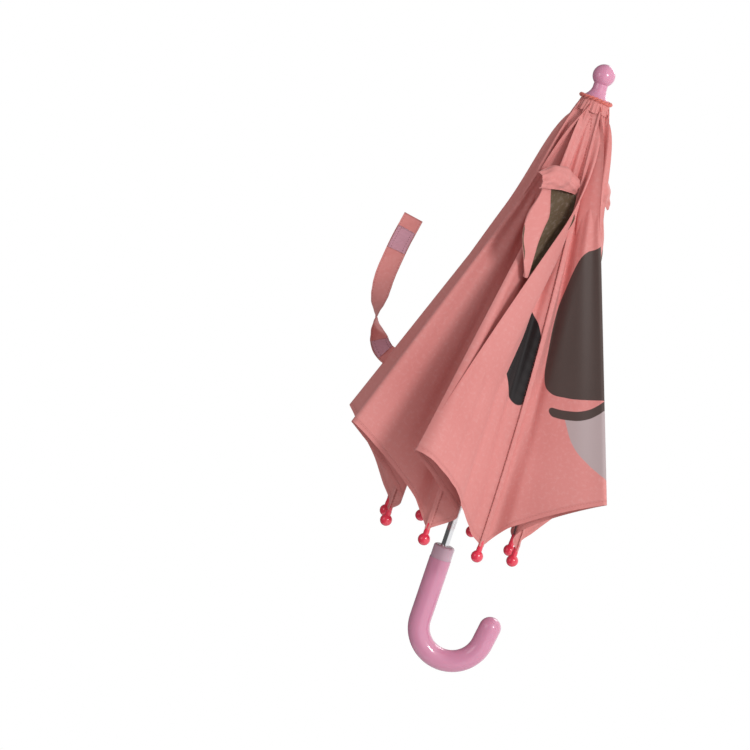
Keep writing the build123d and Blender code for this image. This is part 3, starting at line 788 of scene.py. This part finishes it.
def ribbon(name, first, last, half, thick, lift, cup, material):
    """A closed flat band on the strap's line between two of its steps."""
    cols = 15
    rows = last - first
    verts, uv = [], []
    for layer in (1, -1):
        for i in range(first, last):
            for j in range(cols):
                x = (j / (cols - 1)) * 2 - 1
                rim = (1 - abs(x)) * half
                t = thick / 2 * min(1.0, 0.35 + rim / 0.9) + (0.22 if half > 9.5 and 0.8 < rim < 2.2 else 0)
                wave = 0.35 * math.sin(run[i] * 0.23 + 3 * x) + 0.2 * math.sin(run[i] * 0.61 + 5 * x)
                bow = cup * (1 - x * x)
                verts.append(line[i] + wide[i] * x * half + face_n[i] * (lift + layer * t + wave + bow))
                uv.append((x * half * MM, run[i] * MM))
    total = rows * cols
    faces = grid_faces(rows, cols, 0, flip=True) + grid_faces(rows, cols, total)
    rim_loop = grid_rim(rows, cols)
    for a, b in zip(rim_loop, rim_loop[1:] + rim_loop[:1]):
        faces.append((a, b, total + b, total + a))
    ob = mesh_object(name, verts, faces, {"flat": uv})
    ob.data.materials.append(material)
    return ob


def sewn(n, u, v, colour):
    """Stitch lines along both edges of the strap."""
    off = n.math("ABSOLUTE", n.math("SUBTRACT", n.math("ABSOLUTE", u), 0.0085))
    dash = n.ramp(n.math("SINE", n.math("MULTIPLY", v, 2 * math.pi / 0.0028)), -0.4, 0.0)
    return n.mix(n.math("MULTIPLY", n.math("MULTIPLY", n.ramp(off, 0.0002, 0.0005, 1.0, 0.0), dash), 0.5),
                 colour, (0.42, 0.10, 0.09))


M_STRAP = cloth("strap_fabric", prints=sewn, stitched=False)
tape = Nodes("touch_tape")
vec, tu, tv = tape.uv("flat")
loops = tape.noise(vec, 3200.0, 3.0, 0.75)
hooks = tape.math("MULTIPLY", tape.math("SINE", tape.math("MULTIPLY", tu, 2 * math.pi / 0.0011)),
                  tape.math("SINE", tape.math("MULTIPLY", tv, 2 * math.pi / 0.0011)))
colour = tape.mix(loops, srgb(222, 150, 170), srgb(236, 178, 194))
border = tape.math("ABSOLUTE", tape.math("SUBTRACT", tape.math("ABSOLUTE", tu), 0.0062))
dash = tape.ramp(tape.math("SINE", tape.math("MULTIPLY", tv, 2 * math.pi / 0.0026)), -0.3, 0.1)
thread = tape.math("MULTIPLY", tape.ramp(border, 0.0002, 0.0005, 1.0, 0.0), dash)
colour = tape.mix(tape.math("MULTIPLY", thread, 0.7), colour, (0.36, 0.10, 0.14))
tape.link(colour, tape.shader.inputs["Base Color"])
pile = tape.math("ADD", hooks, tape.math("MULTIPLY", loops, 1.5))
tape.link(tape.bump(pile, 0.7, 0.0004), tape.shader.inputs["Normal"])
tape.put(Roughness=0.75, Sheen_Weight=0.6)

strap = ribbon("strap_band", 0, 120, 10.4, 1.0, 0.0, 0.5, M_STRAP)
end_patch = ribbon("strap_tape_end", 98, 113, 9.4, 0.9, -1.1, 0.5, tape.m)
foot_patch = ribbon("strap_tape_foot", 14, 36, 9.4, 0.9, 1.1, 0.5, tape.m)
for ob, node in ((strap, "strap"), (end_patch, "strap_end_patch"), (foot_patch, "strap_foot_patch")):
    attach(ob, "gore_4_first")
    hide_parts(node)

# ---------------------------------------------------------------- camera, light, floor
ELEVATION, ROLL = math.radians(6.8), math.radians(18.4)
forward = Vector((0, math.cos(ELEVATION), -math.sin(ELEVATION)))
up0, right0 = Vector((0, math.sin(ELEVATION), math.cos(ELEVATION))), Vector((1, 0, 0))
right = right0 * math.cos(ROLL) + up0 * math.sin(ROLL)
up = up0 * math.cos(ROLL) - right0 * math.sin(ROLL)
target = Vector((0, 0, 0.543)) + right0 * -0.1215 + up0 * -0.3523
cam = bpy.data.objects.new("camera", bpy.data.cameras.new("camera"))
bpy.context.scene.collection.objects.link(cam)
cam.data.sensor_width = 36
DISTANCE, VIEW_WIDTH = 2.6, 0.7418
cam.data.lens = 36 * DISTANCE / VIEW_WIDTH
cam.location = target - forward * DISTANCE
basis = Matrix((right, up, -forward)).transposed().to_4x4()
basis.translation = cam.location
cam.matrix_world = basis
cam.data.clip_start, cam.data.clip_end = 0.01, 50
bpy.context.scene.camera = cam

bpy.context.scene.view_settings.view_transform = "Standard"

# white behind the object, and a softer light that is dimmer on the left than on the right
world = bpy.data.worlds.new("studio")
world.use_nodes = True
wt = world.node_tree
soft_light = wt.nodes["Background"]
white = wt.nodes.new("ShaderNodeBackground")
white.inputs["Strength"].default_value = 1.0
seen = wt.nodes.new("ShaderNodeLightPath")
either = wt.nodes.new("ShaderNodeMixShader")
split = wt.nodes.new("ShaderNodeSeparateXYZ")
wt.links.new(wt.nodes.new("ShaderNodeTexCoord").outputs["Generated"], split.inputs[0])


def side_ramp(low, high, least, most):
    """A strength that rises from the left of the object to its right."""
    node = wt.nodes.new("ShaderNodeMapRange")
    node.interpolation_type = "SMOOTHSTEP"
    for socket, value in (("From Min", low), ("From Max", high), ("To Min", least), ("To Max", most)):
        node.inputs[socket].default_value = value
    wt.links.new(split.outputs["X"], node.inputs["Value"])
    return node.outputs["Result"]


mirrored = wt.nodes.new("ShaderNodeMix")
wt.links.new(seen.outputs["Is Glossy Ray"], mirrored.inputs["Factor"])
wt.links.new(side_ramp(-0.8, 0.6, 0.30, 0.72), mirrored.inputs["A"])
wt.links.new(side_ramp(-0.15, 0.30, 0.10, 1.0), mirrored.inputs["B"])
wt.links.new(mirrored.outputs["Result"], soft_light.inputs["Strength"])
for background in (soft_light, white):
    background.inputs["Color"].default_value = (1.0, 1.0, 1.0, 1.0)
wt.links.new(seen.outputs["Is Camera Ray"], either.inputs["Fac"])
wt.links.new(soft_light.outputs[0], either.inputs[1])
wt.links.new(white.outputs[0], either.inputs[2])
wt.links.new(either.outputs[0], wt.nodes["World Output"].inputs["Surface"])
bpy.context.scene.world = world


def area_light(name, place, aim, size, power, colour=(1, 1, 1)):
    data = bpy.data.lights.new(name, "AREA")
    data.shape, data.size, data.energy, data.color = "DISK", size, power, colour
    ob = bpy.data.objects.new(name, data)
    bpy.context.scene.collection.objects.link(ob)
    ob.location = place
    ob.rotation_mode = "QUATERNION"
    ob.rotation_quaternion = (Vector(aim) - Vector(place)).to_track_quat("-Z", "Y")
    return ob


area_light("key", (1.1, -1.7, 1.1), (0, 0, 0.3), 0.55, 20)
area_light("fill", (-1.5, -1.2, 0.5), (0, 0, 0.3), 1.0, 4)
area_light("rim", (0.6, 1.2, 1.2), (0, 0, 0.3), 0.8, 6)

FLOOR_RADIUS, FLOOR_SIDES, FLOOR_CENTRE = 550, 96, (150, 0, -520)
turns = np.linspace(0, 2 * math.pi, FLOOR_SIDES + 1)[:-1]
floor_points = [(0, 0, 0)] + [(math.cos(a) * FLOOR_RADIUS, math.sin(a) * FLOOR_RADIUS, 0) for a in turns]
floor = mesh_object("floor", np.array(floor_points) + np.array(FLOOR_CENTRE),
                    [(0, 1 + i, 1 + (i + 1) % FLOOR_SIDES) for i in range(FLOOR_SIDES)])
fl = Nodes("floor_white")
mottle = fl.noise(fl.object_coords(), 3.0)
fl.link(fl.mix(mottle, (0.86, 0.86, 0.86), (0.82, 0.82, 0.82)), fl.shader.inputs["Base Color"])
fl.put(Roughness=0.8)
floor.data.materials.append(fl.m)
